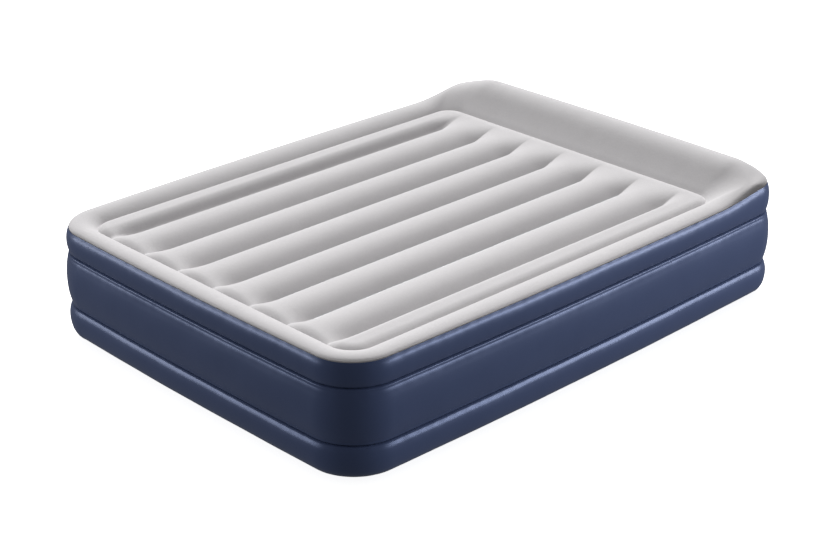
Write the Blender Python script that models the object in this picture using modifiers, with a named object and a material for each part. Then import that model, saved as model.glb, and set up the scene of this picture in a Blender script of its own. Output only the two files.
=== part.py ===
"""Queen-size double-height airbed with a raised pillow end and a pump built into its head wall.

Metres, +Z up, standing on z = 0 with the middle of its footprint at the origin. The sleeper's head
is at +Y. The bed is a skin of welded film: a channelled top sheet, three side bands that bulge one
above the other, and a flat base, held in shape by inner beams and ties. The pump is a tub that
closes a window in the middle band; its own frame looks at the pump from outside the head wall.
"""

import math

import bmesh
import bpy
from mathutils import Vector

# The bed, measured at the widest line of its middle band. The sides and ends swell outwards
# between the corners.
WIDTH = 1.52
LENGTH = 2.03
SIDE_BOW = 0.0175
END_BOW = 0.0130
FOOT_RADIUS = 0.164
HEAD_RADIUS = 0.118
FILM = 0.0012
GAP = 0.0003

# Heights of the lines where the bands are welded, and how far each line lies inside the widest one.
SEAM_Z, SEAM_INSET = 0.3910, 0.0200
UPPER_GROOVE_Z, UPPER_GROOVE_INSET = 0.3090, 0.0190
LOWER_GROOVE_Z, LOWER_GROOVE_INSET = 0.1250, 0.0180
BASE_INSET = 0.0850
EDGE_GAP = 0.0004

# The sleeping panel inside its border groove.
PANEL_HALF_WIDTH = 0.634
PANEL_FOOT_Y = -0.868
PANEL_HEAD_Y = 0.750
PANEL_CORNER_RADIUS = 0.100
BORDER_Z = 0.375
CROWN_Z = 0.400
GROOVE_Z = 0.357
CHANNEL_PITCH = 0.174
GROOVE_COUNT = 7
GROOVE_FADE = 0.085

# The rim's height at even steps from the border groove to the seam, along the sides and foot, and
# where it swells into the pillow at the head.
RIM_HEIGHTS = (0.3750, 0.3880, 0.3960, 0.4010, 0.4020, 0.3990, 0.3918)
PILLOW_HEIGHTS = (0.3750, 0.4100, 0.4320, 0.4500, 0.4620, 0.4470, 0.3918)
PILLOW_RISE = (0.68, 0.90)
PILLOW_SIDE_FALL = (0.56, 0.73)
PILLOW_SIDE_SHARE = 0.60

ARC_STEPS = 4
MIDDLE_BAND_STEPS = 10

# Inner beams and ties.
BEAM_ENDS_Y = (-0.790, 0.640)
BEAM_HOLE_RADIUS = 0.035
BEAM_HOLES = 5
TIE_CORNER_GAP = 0.060
TIE_STEPS = 8

# The pump. Its frame's origin is the middle of the face plate's outer face: x to the right of
# somebody who looks at the pump, y up, z out of the wall.
PUMP_X = -0.400
PUMP_Z = 0.2170
FLAT_Y = 0.9955
FLAT_HALF_WIDTH = 0.135
FLAT_FADE = 0.060
PLATE_HALF = (0.1150, 0.0695)
PLATE_THICK = 0.0030
FACE_Y = FLAT_Y + PLATE_THICK + GAP
WINDOW_HALF = (0.1070, 0.0610)
FLANGE_HALF = (0.1230, 0.0735)
TUB_HALF = (0.1030, 0.0570)
TUB_WALL = 0.0022
TUB_BACK = -0.1548
FLANGE_FRONT = -0.0048
FLANGE_THICK = 0.0030
DIAL_X = 0.055
BLOWER_X = -0.050


def collection(name):
    """A new collection in the scene."""
    made = bpy.data.collections.new(name)
    bpy.context.scene.collection.children.link(made)
    return made


for old in list(bpy.data.objects):
    bpy.data.objects.remove(old, do_unlink=True)
PARTS = collection("air_mattress")
CUTTERS = collection("cutters")

# Half the size of the outline's corners, before the swell between them.
HALF_WIDTH = WIDTH / 2 - SIDE_BOW
HALF_LENGTH = LENGTH / 2 - END_BOW
HALF_STRAIGHT_X = HALF_WIDTH - FOOT_RADIUS


def finish(name, colour, roughness, metallic=0.0):
    """A Principled material of one colour."""
    made = bpy.data.materials.new(name)
    made.use_nodes = True
    shader = made.node_tree.nodes["Principled BSDF"]
    shader.inputs["Base Color"].default_value = (*colour, 1.0)
    shader.inputs["Roughness"].default_value = roughness
    shader.inputs["Metallic"].default_value = metallic
    made.diffuse_color = (*colour, 1.0)
    return made


def flocked_grey(name):
    return finish(name, (0.60, 0.60, 0.60), 0.95)


def navy_film(name):
    return finish(name, (0.035, 0.055, 0.130), 0.38)


def inner_film(name):
    return finish(name, (0.55, 0.57, 0.60), 0.45)


def black_plastic(name):
    return finish(name, (0.020, 0.021, 0.024), 0.45)


def grey_plastic(name):
    return finish(name, (0.250, 0.260, 0.280), 0.45)


def white_plastic(name):
    return finish(name, (0.720, 0.720, 0.700), 0.40)


def steel(name):
    return finish(name, (0.560, 0.570, 0.580), 0.30, 1.0)


def soft_rubber(name):
    return finish(name, (0.060, 0.060, 0.062), 0.80)


def place(obj, look, frame):
    """Make obj a part: its own material, its collection and its parent."""
    obj.data.materials.clear()
    obj.data.materials.append(look(obj.name))
    PARTS.objects.link(obj)
    obj.parent = frame
    return obj


def meshed(name, bm):
    """An object holding bm's mesh, smooth but for its sharp edges."""
    mesh = bpy.data.meshes.new(name)
    bm.to_mesh(mesh)
    bm.free()
    mesh.shade_smooth()
    mesh.set_sharp_from_angle(angle=math.radians(35))
    return bpy.data.objects.new(name, mesh)


def block(name, low, high, corner=0.0):
    """A box between two opposite corners; corner rounds its edges along Z."""
    bm = bmesh.new()
    bmesh.ops.create_cube(bm, size=1.0)
    bmesh.ops.scale(bm, vec=Vector(high) - Vector(low), verts=bm.verts)
    bmesh.ops.translate(bm, vec=(Vector(high) + Vector(low)) / 2, verts=bm.verts)
    if corner:
        upright = [e for e in bm.edges if abs(e.verts[0].co.z - e.verts[1].co.z) > 1e-5]
        bmesh.ops.bevel(bm, geom=upright, offset=corner, segments=4, profile=0.5, affect="EDGES")
    return meshed(name, bm)


def plate(name, half, low_z, high_z, corner, middle=(0.0, 0.0)):
    """A flat slab with rounded corners, by its half sizes and its faces' heights."""
    low = (middle[0] - half[0], middle[1] - half[1], low_z)
    high = (middle[0] + half[0], middle[1] + half[1], high_z)
    return block(name, low, high, corner)


def rod(name, radius, low_z, high_z, middle=(0.0, 0.0), sides=20):
    """A cylinder along Z."""
    bm = bmesh.new()
    bmesh.ops.create_cone(
        bm, cap_ends=True, segments=sides, radius1=radius, radius2=radius, depth=high_z - low_z
    )
    bmesh.ops.translate(bm, vec=(*middle, (low_z + high_z) / 2), verts=bm.verts)
    return meshed(name, bm)


def cross_rod(name, radius, half_length, middle, sides=12):
    """A cylinder along X."""
    made = rod(name, radius, -half_length, half_length, sides=sides)
    for vertex in made.data.vertices:
        x, y, z = vertex.co
        vertex.co = (z + middle[0], y + middle[1], -x + middle[2])
    return made


def turned(name, outline, middle=(0.0, 0.0), sides=24):
    """A solid of revolution about Z from an outline of (radius, z), outer side downwards.

    An outline that starts on the axis ends on it too; any other is closed up into a ring.
    """
    mesh = bpy.data.meshes.new(name)
    points = [(radius, 0.0, z) for radius, z in outline]
    edges = [(i, i + 1) for i in range(len(points) - 1)]
    if outline[0][0] > 0.0:
        edges.append((len(points) - 1, 0))
    mesh.from_pydata(points, edges, [])
    made = bpy.data.objects.new(name, mesh)
    made.location = (*middle, 0.0)
    screw = made.modifiers.new("turn", "SCREW")
    screw.steps = sides
    screw.render_steps = sides
    screw.use_merge_vertices = True
    screw.merge_threshold = 0.00001
    screw.use_smooth_shade = True
    return made


def sleeve(name, outer, inner, low_z, high_z, middle=(0.0, 0.0), sides=24):
    """A plain tube along Z."""
    outline = [(outer, high_z), (outer, low_z), (inner, low_z), (inner, high_z)]
    return turned(name, outline, middle, sides)


def boolean(obj, operation, others, frame):
    """Cut or join others into obj; they become hidden tools."""
    for other in others:
        CUTTERS.objects.link(other)
        other.parent = frame
        other.hide_render = True
        other.display_type = "WIRE"
        step = obj.modifiers.new(operation.lower(), "BOOLEAN")
        step.operation = operation
        step.solver = "EXACT"
        step.object = other
    return obj


def rounded_rectangle(half_x, low_y, high_y, radii, sides_x=(), sides_y=()):
    """Anticlockwise (point, normal) pairs, from the foot side's left end.

    radii are those of the foot's and the head's corners. sides_x and sides_y are the inner points
    of the straight sides, from low to high.
    """
    def corner(side_x, side_y, radius, start):
        centre = Vector((side_x * (half_x - radius), side_y))
        for step in range(2 * ARC_STEPS + 1):
            angle = start + math.pi / 2 * step / (2 * ARC_STEPS)
            normal = Vector((math.cos(angle), math.sin(angle)))
            yield centre + normal * radius, normal

    foot_radius, head_radius = radii
    bottom, top = low_y + foot_radius, high_y - head_radius
    loop = [(Vector((x, low_y)), Vector((0, -1))) for x in sides_x]
    loop += corner(1, bottom, foot_radius, -math.pi / 2)
    loop += [(Vector((half_x, y)), Vector((1, 0))) for y in sides_y]
    loop += corner(1, top, head_radius, 0.0)
    loop += [(Vector((x, high_y)), Vector((0, 1))) for x in reversed(sides_x)]
    loop += corner(-1, top, head_radius, math.pi / 2)
    loop += [(Vector((-half_x, y)), Vector((-1, 0))) for y in reversed(sides_y)]
    loop += corner(-1, bottom, foot_radius, math.pi)
    return loop


def bowed(point):
    """A plan point moved out by the swell of the sides and ends between the corners."""
    across = min(max(point.x / HALF_WIDTH, -1.0), 1.0)
    along = min(max(point.y / HALF_LENGTH, -1.0), 1.0)
    swell = Vector((SIDE_BOW * (1.0 - along**2) * across, END_BOW * (1.0 - across**2) * along))
    return point + swell


def smooth_step(value, low, high):
    """0 below low, 1 above high, and an even curve between."""
    share = min(max((value - low) / (high - low), 0.0), 1.0)
    return share * share * (3.0 - 2.0 * share)


def dome(share):
    """A quarter circle's height at share of its run, from 0 at its foot to 1."""
    share = min(max(share, 0.0), 1.0)
    return math.sqrt(1.0 - (1.0 - share) ** 2)


# --- Side bands ----------------------------------------------------------------------------------
# Each band is one strip of film round the bed: rounded rectangles at each height, joined up.

PUMP_SIDE_X = [
    HALF_STRAIGHT_X * -0.99,
    PUMP_X - FLAT_HALF_WIDTH,
    PUMP_X + FLAT_HALF_WIDTH,
    PUMP_X + FLAT_HALF_WIDTH + FLAT_FADE,
    0.05,
    0.30,
    HALF_STRAIGHT_X * 0.92,
]
SIDE_Y = [-0.66, -0.44, -0.22, 0.0, 0.22, 0.44, 0.66]
OUTLINE = [
    (bowed(point), normal)
    for point, normal in rounded_rectangle(
        HALF_WIDTH, -HALF_LENGTH, HALF_LENGTH, (FOOT_RADIUS, HEAD_RADIUS), PUMP_SIDE_X, SIDE_Y
    )
]


def arc_inset(height, low, high, low_inset, high_inset):
    """How far a taut bulge between two weld lines lies inside its widest line."""
    share = (height - low) / (high - low)
    return (low_inset + (high_inset - low_inset) * share) * (2.0 * share - 1.0) ** 2


def by_the_pump(point, normal):
    """True on the stretch of head wall that the pump holds flat."""
    return normal.y > 0.99 and abs(point.x - PUMP_X) < FLAT_HALF_WIDTH + 0.001


def side_band(name, profile, flat_by_pump=False):
    """Loft the outline through (inset, z) steps from top to bottom and give the film its wall."""
    bm = bmesh.new()
    rings = []
    for inset, z in profile:
        ring = []
        for point, normal in OUTLINE:
            at = point - normal * inset
            if flat_by_pump and by_the_pump(point, normal):
                at.y = min(at.y, FLAT_Y)
            ring.append(bm.verts.new((*at, z)))
        rings.append(ring)
    for upper, lower in zip(rings, rings[1:]):
        for i in range(len(upper)):
            following = (i + 1) % len(upper)
            bm.faces.new((upper[i], lower[i], lower[following], upper[following]))
    band = meshed(name, bm)
    wall = band.modifiers.new("film", "SOLIDIFY")
    wall.thickness = FILM
    wall.offset = -1.0
    return place(band, navy_film, None)


side_band(
    "upper_side_band",
    [
        (SEAM_INSET, SEAM_Z - EDGE_GAP),
        (0.0140, 0.3800),
        (0.0100, 0.3650),
        (0.0090, 0.3500),
        (0.0105, 0.3340),
        (0.0140, 0.3200),
        (UPPER_GROOVE_INSET, UPPER_GROOVE_Z + EDGE_GAP),
    ],
)

middle_high = UPPER_GROOVE_Z - EDGE_GAP
middle_low = LOWER_GROOVE_Z + EDGE_GAP
middle_profile = []
for step in range(MIDDLE_BAND_STEPS + 1):
    height = middle_high + (middle_low - middle_high) * step / MIDDLE_BAND_STEPS
    inset = arc_inset(height, middle_low, middle_high, LOWER_GROOVE_INSET, UPPER_GROOVE_INSET)
    middle_profile.append((inset, height))
middle_side_band = side_band("middle_side_band", middle_profile, flat_by_pump=True)

side_band(
    "lower_side_band",
    [
        (LOWER_GROOVE_INSET, LOWER_GROOVE_Z - EDGE_GAP),
        (0.0090, 0.1150),
        (0.0030, 0.0990),
        (0.0010, 0.0770),
        (0.0030, 0.0560),
        (0.0085, 0.0370),
        (0.0180, 0.0235),
        (0.0300, 0.0155),
        (0.0460, 0.0075),
        (0.0660, 0.0015),
        (BASE_INSET, 0.0000),
    ],
)

# The base: one flat sheet, just inside the lower band's edge.
base_inset = BASE_INSET + 0.0015
base_outline = [point - normal * base_inset for point, normal in OUTLINE]
bm = bmesh.new()
base_face = bm.faces.new([bm.verts.new((*point, 0.0)) for point in base_outline])
raised = bmesh.ops.extrude_face_region(bm, geom=[base_face])["geom"]
bmesh.ops.translate(
    bm, vec=(0, 0, FILM), verts=[v for v in raised if isinstance(v, bmesh.types.BMVert)]
)
bmesh.ops.recalc_face_normals(bm, faces=bm.faces)
place(meshed("base_sheet", bm), navy_film, None)


# --- Top sheet -----------------------------------------------------------------------------------
# A grid over the sleeping panel, whose edge is carried outwards in rings over the rim to the seam.

GROOVES_X = [CHANNEL_PITCH * (i - (GROOVE_COUNT - 1) / 2) for i in range(GROOVE_COUNT)]
OUTER_CHANNEL = PANEL_HALF_WIDTH - GROOVES_X[-1]


def arc_lines(edge, inwards):
    """Where the panel's rounded corner crosses the grid's lines, from the edge inwards."""
    start = edge + inwards * PANEL_CORNER_RADIUS
    angles = [math.pi / 4 * i / ARC_STEPS for i in range(ARC_STEPS)]
    return [start - inwards * PANEL_CORNER_RADIUS * math.sin(a) for a in angles]


half_lines = [CHANNEL_PITCH * i / 4 for i in range(1, 2 * GROOVE_COUNT - 1)]
half_lines = [x for x in half_lines if x <= GROOVES_X[-1] + 1e-6]
half_lines += arc_lines(PANEL_HALF_WIDTH, -1.0)
PANEL_X = [-x for x in reversed(half_lines)] + [0.0] + half_lines
PANEL_X = [-PANEL_HALF_WIDTH] + PANEL_X + [PANEL_HALF_WIDTH]
PANEL_Y = [PANEL_FOOT_Y] + list(reversed(arc_lines(PANEL_FOOT_Y, 1.0)))
PANEL_Y += [-0.720, -0.460, -0.220, 0.0, 0.220, 0.440, 0.590]
PANEL_Y += arc_lines(PANEL_HEAD_Y, -1.0) + [PANEL_HEAD_Y]


def panel_edge_distance(x, y):
    """How far a point of the panel lies inside the border groove."""
    to_side = PANEL_HALF_WIDTH - abs(x)
    to_end = min(y - PANEL_FOOT_Y, PANEL_HEAD_Y - y)
    if to_side < PANEL_CORNER_RADIUS and to_end < PANEL_CORNER_RADIUS:
        reach = math.hypot(PANEL_CORNER_RADIUS - to_side, PANEL_CORNER_RADIUS - to_end)
        return max(PANEL_CORNER_RADIUS - reach, 0.0)
    return min(to_side, to_end)


def panel_height(x, y):
    """Crowned channels that run along Y, rounded off at the border groove."""
    half = CHANNEL_PITCH / 2 if abs(x) <= GROOVES_X[-1] else OUTER_CHANNEL / 2
    to_groove = min(abs(x - groove) for groove in GROOVES_X)
    to_end = min(y - PANEL_FOOT_Y, PANEL_HEAD_Y - y)
    fade = smooth_step(to_end, 0.01, GROOVE_FADE)
    depth = (CROWN_Z - GROOVE_Z) * (1.0 - dome(to_groove / half)) * fade
    rise = (CROWN_Z - BORDER_Z) * dome(panel_edge_distance(x, y) / (OUTER_CHANNEL / 2))
    return BORDER_Z + rise - depth


def rim_height(x, y, ring):
    """Height of the rim's ring number ring, swelling into the pillow towards the head."""
    share = smooth_step(y, *PILLOW_RISE)
    share *= 1.0 - PILLOW_SIDE_SHARE * smooth_step(abs(x), *PILLOW_SIDE_FALL)
    return RIM_HEIGHTS[ring] + (PILLOW_HEIGHTS[ring] - RIM_HEIGHTS[ring]) * share


straight_x = PANEL_X[ARC_STEPS + 1:-ARC_STEPS - 1]
straight_y = PANEL_Y[ARC_STEPS + 1:-ARC_STEPS - 1]
border = rounded_rectangle(
    PANEL_HALF_WIDTH,
    PANEL_FOOT_Y,
    PANEL_HEAD_Y,
    (PANEL_CORNER_RADIUS, PANEL_CORNER_RADIUS),
    straight_x,
    straight_y,
)
seam_half_width = HALF_WIDTH - SEAM_INSET
seam_half_length = HALF_LENGTH - SEAM_INSET
seam_radii = (FOOT_RADIUS - SEAM_INSET, HEAD_RADIUS - SEAM_INSET)


def stretched(values, low, high, new_low, new_high):
    """values moved from the run low..high to the run new_low..new_high."""
    return [new_low + (v - low) * (new_high - new_low) / (high - low) for v in values]


panel_straight_x = PANEL_HALF_WIDTH - PANEL_CORNER_RADIUS
seam = rounded_rectangle(
    seam_half_width,
    -seam_half_length,
    seam_half_length,
    seam_radii,
    stretched(
        straight_x, -panel_straight_x, panel_straight_x, -HALF_STRAIGHT_X, HALF_STRAIGHT_X
    ),
    stretched(
        straight_y,
        PANEL_FOOT_Y + PANEL_CORNER_RADIUS,
        PANEL_HEAD_Y - PANEL_CORNER_RADIUS,
        FOOT_RADIUS - HALF_LENGTH,
        HALF_LENGTH - HEAD_RADIUS,
    ),
)

bm = bmesh.new()
columns, rows = len(PANEL_X), len(PANEL_Y)
edge_cells = [(i, 0) for i in range(ARC_STEPS + 1, columns)]
edge_cells += [(columns - 1, j) for j in range(1, rows)]
edge_cells += [(i, rows - 1) for i in range(columns - 2, -1, -1)]
edge_cells += [(0, j) for j in range(rows - 2, -1, -1)]
edge_cells += [(i, 0) for i in range(1, ARC_STEPS + 1)]
edge_at = {cell: point for cell, (point, _) in zip(edge_cells, border)}
grid = {}
for i, x in enumerate(PANEL_X):
    for j, y in enumerate(PANEL_Y):
        at = edge_at.get((i, j), Vector((x, y)))
        grid[i, j] = bm.verts.new((*at, panel_height(*at)))
for i in range(columns - 1):
    for j in range(rows - 1):
        bm.faces.new((grid[i, j], grid[i + 1, j], grid[i + 1, j + 1], grid[i, j + 1]))
inner = [grid[cell] for cell in edge_cells]
ring_count = len(RIM_HEIGHTS) - 1
for ring in range(1, ring_count + 1):
    share = ring / ring_count
    outer = []
    for (start, _), (end, _) in zip(border, seam):
        at = start.lerp(bowed(end), share)
        outer.append(bm.verts.new((*at, rim_height(at.x, at.y, ring))))
    for i in range(len(inner)):
        following = (i + 1) % len(inner)
        bm.faces.new((inner[i], outer[i], outer[following], inner[following]))
    inner = outer
top_sheet = meshed("top_sheet", bm)
wall = top_sheet.modifiers.new("film", "SOLIDIFY")
wall.thickness = FILM
wall.offset = -1.0
place(top_sheet, flocked_grey, None)


# --- Inner beams and ties ------------------------------------------------------------------------

def flat_piece(name, outlines, thickness, look, frame=None):
    """A flat outline in XY, with any further outlines as holes, thick about its plane."""
    curve = bpy.data.curves.new(name, "CURVE")
    curve.dimensions = "2D"
    curve.fill_mode = "BOTH"
    curve.extrude = thickness / 2
    for outline in outlines:
        spline = curve.splines.new("POLY")
        spline.points.add(len(outline) - 1)
        for point, (x, y) in zip(spline.points, outline):
            point.co = (x, y, 0.0, 1.0)
        spline.use_cyclic_u = True
    return place(bpy.data.objects.new(name, curve), look, frame)


def rectangle(low_x, low_y, high_x, high_y):
    return [(low_x, low_y), (high_x, low_y), (high_x, high_y), (low_x, high_y)]


def circle(x, y, radius, sides=10):
    turns = [2 * math.pi * i / sides for i in range(sides)]
    return [(x + radius * math.cos(t), y + radius * math.sin(t)) for t in turns]


def beam(name, low, high, bottom, top):
    """An upright strip along its local X with a row of air holes at mid height."""
    pitch = (high - low) / BEAM_HOLES
    holes = [
        circle(low + pitch * (i + 0.5), (bottom + top) / 2, BEAM_HOLE_RADIUS)
        for i in range(BEAM_HOLES)
    ]
    made = flat_piece(name, [rectangle(low, bottom, high, top), *holes], FILM, inner_film)
    made.rotation_euler = (math.pi / 2, 0, 0)
    return made


BEAM_BOTTOM = FILM + 2 * GAP
BEAM_TOP = GROOVE_Z - FILM - 0.0010
for i, x in enumerate(GROOVES_X):
    channel_beam = beam(f"channel_beam_{i + 1}", *BEAM_ENDS_Y, BEAM_BOTTOM, BEAM_TOP)
    channel_beam.rotation_euler.z = math.pi / 2
    channel_beam.location.x = x

pillow_beam_half = PANEL_HALF_WIDTH - PANEL_CORNER_RADIUS
pillow_beam = beam("pillow_beam", -pillow_beam_half, pillow_beam_half, BEAM_BOTTOM, BORDER_Z - 0.0025)
pillow_beam.location.y = PANEL_HEAD_Y


def tie(name, side, half_length, outer, inner):
    """A slanting strip from a side groove (inset, z) in to another weld line, bowed like the wall.

    side is the outward direction; half_length runs along the wall.
    """
    reach = HALF_LENGTH if side.y else HALF_WIDTH
    along = Vector((-side.y, side.x))
    bm = bmesh.new()
    rows = []
    for step in range(TIE_STEPS + 1):
        station = along * half_length * (2.0 * step / TIE_STEPS - 1.0)
        swell = bowed(side * reach + station) - side * reach - station
        rows.append([
            bm.verts.new((*(side * (reach - inset) + station + swell), z))
            for inset, z in (outer, inner)
        ])
    for near, far in zip(rows, rows[1:]):
        bm.faces.new((near[0], far[0], far[1], near[1]))
    made = meshed(name, bm)
    wall = made.modifiers.new("film", "SOLIDIFY")
    wall.thickness = FILM
    wall.offset = 0.0
    return place(made, inner_film, None)


SIDES = {
    "left": Vector((-1, 0)),
    "right": Vector((1, 0)),
    "foot": Vector((0, -1)),
    "head": Vector((0, 1)),
}
RIM_TIE_OUTER = (UPPER_GROOVE_INSET + 0.0040, UPPER_GROOVE_Z)
RIM_TIE_INNER_Z = BORDER_Z - 0.0040
BASE_TIE_OUTER = (LOWER_GROOVE_INSET + 0.0040, LOWER_GROOVE_Z)
BASE_TIE_INNER = (0.1200, FILM + 0.0012)
for side_name, side in SIDES.items():
    wall_half = HALF_WIDTH if side.y else HALF_LENGTH
    half_length = wall_half - FOOT_RADIUS - TIE_CORNER_GAP
    tie(f"base_tie_{side_name}", side, half_length, BASE_TIE_OUTER, BASE_TIE_INNER)
    if side_name != "head":
        border_inset = HALF_LENGTH + PANEL_FOOT_Y if side.y else HALF_WIDTH - PANEL_HALF_WIDTH
        inner_line = (border_inset - 0.0020, RIM_TIE_INNER_Z)
        tie(f"rim_tie_{side_name}", side, half_length, RIM_TIE_OUTER, inner_line)


# --- Pump ----------------------------------------------------------------------------------------

PUMP = bpy.data.objects.new("pump_frame", None)
PARTS.objects.link(PUMP)
PUMP.location = (PUMP_X, FACE_Y, PUMP_Z)
PUMP.rotation_euler = (math.pi / 2, 0.0, math.pi)

PLATE_BACK = -PLATE_THICK
FILM_FRONT = FACE_Y - FLAT_Y
GASKET_Z = (-FILM_FRONT - FILM, -FILM_FRONT)
TUB_FLOOR = TUB_BACK + TUB_WALL
TUB_ROOM = (TUB_HALF[0] - TUB_WALL, TUB_HALF[1] - TUB_WALL)
SCREW_SPOTS = [(sx * 0.0955, sy * 0.0493) for sx in (-1, 1) for sy in (-1, 1)]
SCREW_RADIUS = 0.0014
BOSS_RADIUS = 0.0060

# The window in the middle band that the pump closes.
window = plate("window_cutter", WINDOW_HALF, -0.030, 0.010, 0.010)
boolean(middle_side_band, "DIFFERENCE", [window], PUMP)

# The tub, with the flange that is welded behind the film, four screw bosses, and a valve port in
# its back wall that is crossed by the bar that guides the valve stem.
PORT_RADIUS = 0.0220
GUIDE_HALF = 0.0045
STEM_RADIUS = 0.0025
pump_housing = plate("pump_housing", TUB_HALF, TUB_BACK, FLANGE_FRONT - 0.001, 0.006)
flange = plate("flange_tool", FLANGE_HALF, FLANGE_FRONT - FLANGE_THICK, FLANGE_FRONT, 0.012)
room = plate("room_cutter", TUB_ROOM, TUB_FLOOR, 0.010, 0.004)
boolean(pump_housing, "UNION", [flange], PUMP)
boolean(pump_housing, "DIFFERENCE", [room], PUMP)
boss_tools = [
    rod(f"boss_tool_{i}", BOSS_RADIUS, -0.030, FLANGE_FRONT, spot, 12)
    for i, spot in enumerate(SCREW_SPOTS)
]
boolean(pump_housing, "UNION", boss_tools, PUMP)
pilot_cutters = [
    rod(f"pilot_cutter_{i}", SCREW_RADIUS + GAP, -0.024, 0.0, spot, 10)
    for i, spot in enumerate(SCREW_SPOTS)
]
boolean(pump_housing, "DIFFERENCE", pilot_cutters, PUMP)
for half_name, sign in (("upper", 1), ("lower", -1)):
    port = rod(
        f"port_cutter_{half_name}", PORT_RADIUS, TUB_BACK - 0.01, TUB_FLOOR + 0.01, (DIAL_X, 0), 24
    )
    keep_middle = (DIAL_X, -sign * (0.03 - GUIDE_HALF))
    keep = plate(
        f"port_keep_{half_name}", (0.03, 0.03), TUB_BACK - 0.02, TUB_FLOOR + 0.02, 0, keep_middle
    )
    boolean(port, "DIFFERENCE", [keep], PUMP)
    boolean(pump_housing, "DIFFERENCE", [port], PUMP)
stem_hole = rod(
    "stem_hole_cutter", STEM_RADIUS + GAP, TUB_BACK - 0.01, TUB_FLOOR + 0.01, (DIAL_X, 0), 12
)
boolean(pump_housing, "DIFFERENCE", [stem_hole], PUMP)
place(pump_housing, grey_plastic, PUMP)

# A flat rubber ring between flange and face plate, as thick as the film round it.
face_gasket = plate("face_gasket", (WINDOW_HALF[0] - 0.0006, WINDOW_HALF[1] - 0.0006), *GASKET_Z, 0.0095)
gasket_room = plate("gasket_cutter", (TUB_ROOM[0] + 0.001, TUB_ROOM[1] + 0.001), -0.02, 0.01, 0.0045)
boolean(face_gasket, "DIFFERENCE", [gasket_room], PUMP)
place(face_gasket, soft_rubber, PUMP)

# The face plate and its openings.
GRILLE_MIDDLE, GRILLE_HALF = (-0.0560, 0.0320), (0.0400, 0.0170)
BAY_MIDDLE, BAY_HALF = (-0.0455, -0.0295), (0.0400, 0.0210)
SWITCH_MIDDLE, SWITCH_HALF = (0.0040, 0.0360), (0.0070, 0.0100)
HINGE_Y, HINGE_Z = -0.0485, -0.0015
HINGE_MIDDLE = (BAY_MIDDLE[0], HINGE_Y, HINGE_Z)
PIN_RADIUS = 0.0006
DIAL_SHAFT_RADIUS = 0.0050
face_plate = plate("face_plate", PLATE_HALF, PLATE_BACK, 0.0, 0.012)
plate_cutters = [
    plate("grille_cutter", GRILLE_HALF, -0.01, 0.01, 0.003, GRILLE_MIDDLE),
    plate("bay_cutter", BAY_HALF, -0.01, 0.01, 0.0, BAY_MIDDLE),
    plate("switch_cutter", (SWITCH_HALF[0] + GAP, SWITCH_HALF[1] + GAP), -0.01, 0.01, 0.0, SWITCH_MIDDLE),
    rod("dial_hole_cutter", DIAL_SHAFT_RADIUS + 0.0005, -0.01, 0.01, (DIAL_X, 0), 20),
    cross_rod("pin_hole_cutter", PIN_RADIUS + GAP, BAY_HALF[0] + 0.0030, HINGE_MIDDLE, 8),
]
plate_cutters += [
    rod(f"screw_hole_cutter_{i}", SCREW_RADIUS + 2 * GAP, -0.01, 0.01, spot, 12)
    for i, spot in enumerate(SCREW_SPOTS)
]
boolean(face_plate, "DIFFERENCE", plate_cutters, PUMP)
place(face_plate, grey_plastic, PUMP)


def screw(name, radius, length, head_radius, head_height, spot, seat):
    """A pan-head screw whose head sits on seat, its shank going down Z."""
    outline = [
        (0.0, seat + head_height),
        (head_radius * 0.70, seat + head_height * 0.90),
        (head_radius, seat + head_height * 0.35),
        (head_radius, seat),
        (radius, seat),
        (radius, seat - length + radius),
        (0.0, seat - length),
    ]
    return place(turned(name, outline, spot, 12), steel, PUMP)


for i, spot in enumerate(SCREW_SPOTS):
    screw(f"face_screw_{i + 1}", SCREW_RADIUS, 0.0180, 0.0032, 0.0018, spot, GAP)

# The intake grille, a slotted insert.
GRILLE_SLOTS = 4
slot_pitch = 2 * (GRILLE_HALF[1] - 0.003) / GRILLE_SLOTS
slot_half = (GRILLE_HALF[0] - 0.0040, slot_pitch * 0.30)
slots = []
for i in range(GRILLE_SLOTS):
    slot_y = slot_pitch * (i - (GRILLE_SLOTS - 1) / 2)
    slots.append(rectangle(-slot_half[0], slot_y - slot_half[1], slot_half[0], slot_y + slot_half[1]))
grille_half = (GRILLE_HALF[0] - 0.0004, GRILLE_HALF[1] - 0.0004)
corner_cut = 0.002
grille_edge = [
    (-grille_half[0] + corner_cut, -grille_half[1]),
    (grille_half[0] - corner_cut, -grille_half[1]),
    (grille_half[0], -grille_half[1] + corner_cut),
    (grille_half[0], grille_half[1] - corner_cut),
    (grille_half[0] - corner_cut, grille_half[1]),
    (-grille_half[0] + corner_cut, grille_half[1]),
    (-grille_half[0], grille_half[1] - corner_cut),
    (-grille_half[0], -grille_half[1] + corner_cut),
]
intake_grille = flat_piece("intake_grille", [grille_edge, *slots], 0.0022, black_plastic, PUMP)
intake_grille.location = (*GRILLE_MIDDLE, -0.0014)

# The cord bay behind the face plate, its gland, and the door that swings out about its lower edge.
BAY_DEPTH = 0.0500
BAY_FRONT = PLATE_BACK - GAP
BAY_BACK = BAY_FRONT - BAY_DEPTH
BAY_WALL = 0.0018
GLAND_SPOT = (BAY_MIDDLE[0] - 0.022, BAY_MIDDLE[1])
bay_outer_half = (BAY_HALF[0] + BAY_WALL, BAY_HALF[1] + BAY_WALL)
cord_bay = plate("cord_bay", bay_outer_half, BAY_BACK, BAY_FRONT, 0, BAY_MIDDLE)
bay_room = plate("bay_room_cutter", BAY_HALF, BAY_BACK + BAY_WALL, 0.01, 0, BAY_MIDDLE)
gland_hole = rod("gland_hole_cutter", 0.0042 + GAP, BAY_BACK - 0.01, BAY_BACK + 0.01, GLAND_SPOT, 16)
boolean(cord_bay, "DIFFERENCE", [bay_room, gland_hole], PUMP)
place(cord_bay, black_plastic, PUMP)
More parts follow.
